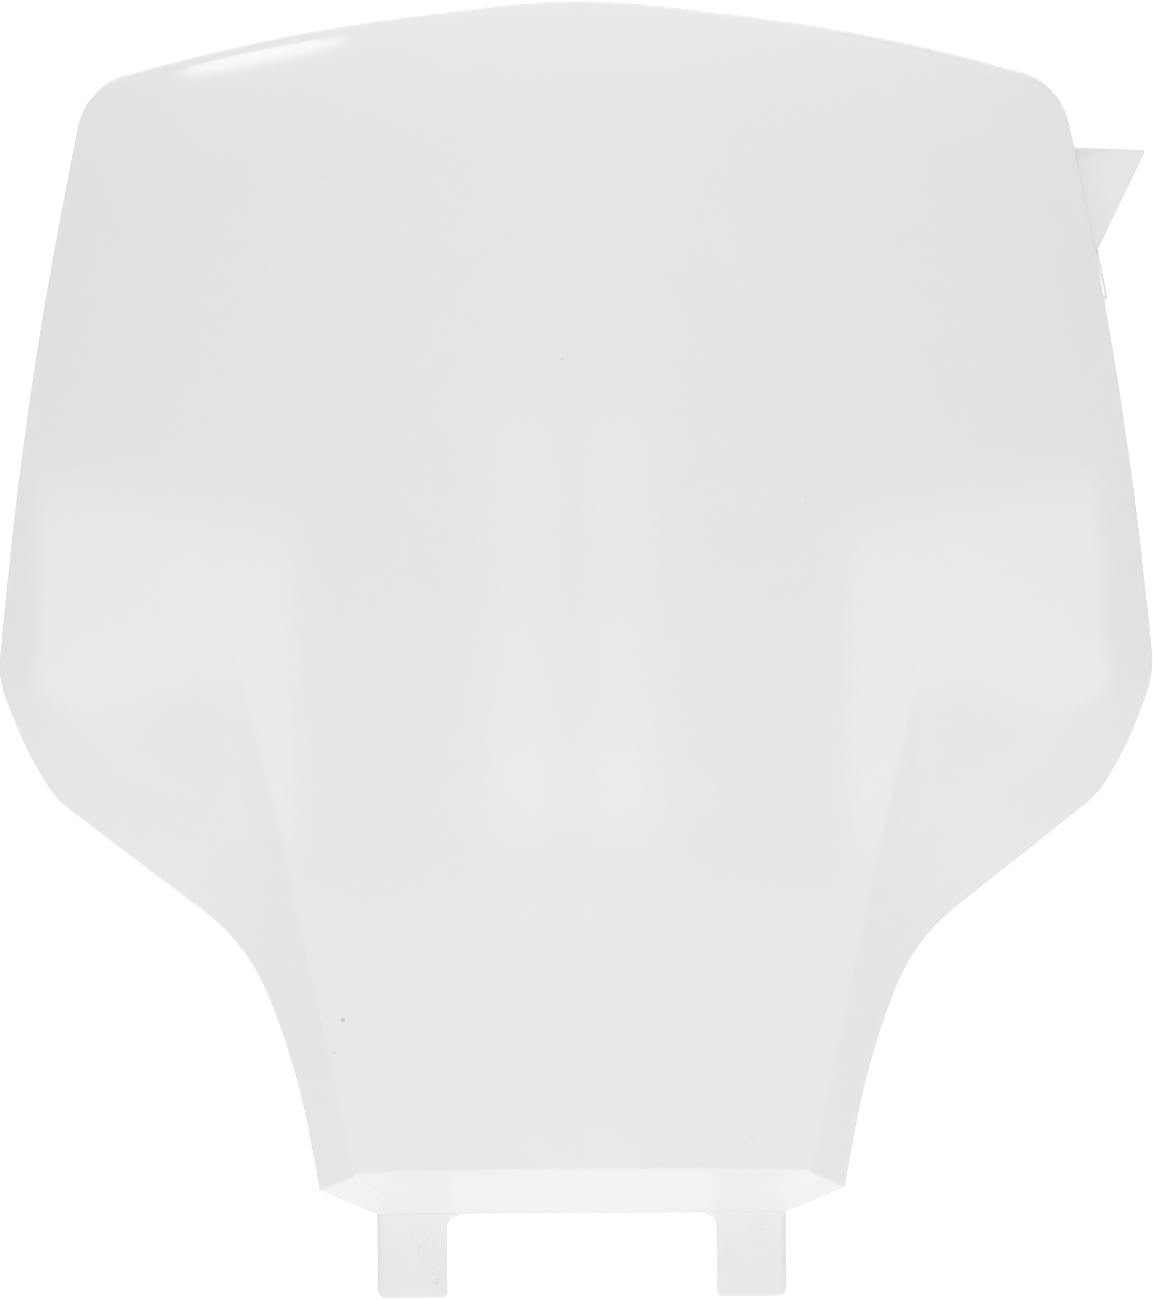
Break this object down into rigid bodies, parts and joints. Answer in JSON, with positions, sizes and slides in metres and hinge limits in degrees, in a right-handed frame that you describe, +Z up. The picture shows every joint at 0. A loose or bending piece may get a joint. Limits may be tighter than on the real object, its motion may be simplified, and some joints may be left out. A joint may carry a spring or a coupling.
{
  "type": "motorbike front number plate",
  "caption": "Dished front number board for an off-road motorbike, with a turned back rim, a creased chin, lower tabs, a rear fixing lug and a side hose guide.",
  "frame": {"origin": "middle of the fixing hole in the lug behind the board", "axes": "-Y is the way the board's front faces, +Z is up along the fixing hole, towards the crest, and +X is to the viewer's right, where the hose guide is"},
  "size_m": [0.2398, 0.0622, 0.2654],
  "materials": {
    "plastic": "white moulded polypropylene, glossy, with faint handling marks"
  },
  "bodies": {
    "root": {"number_plate": "plastic"}
  },
  "joints": []
}
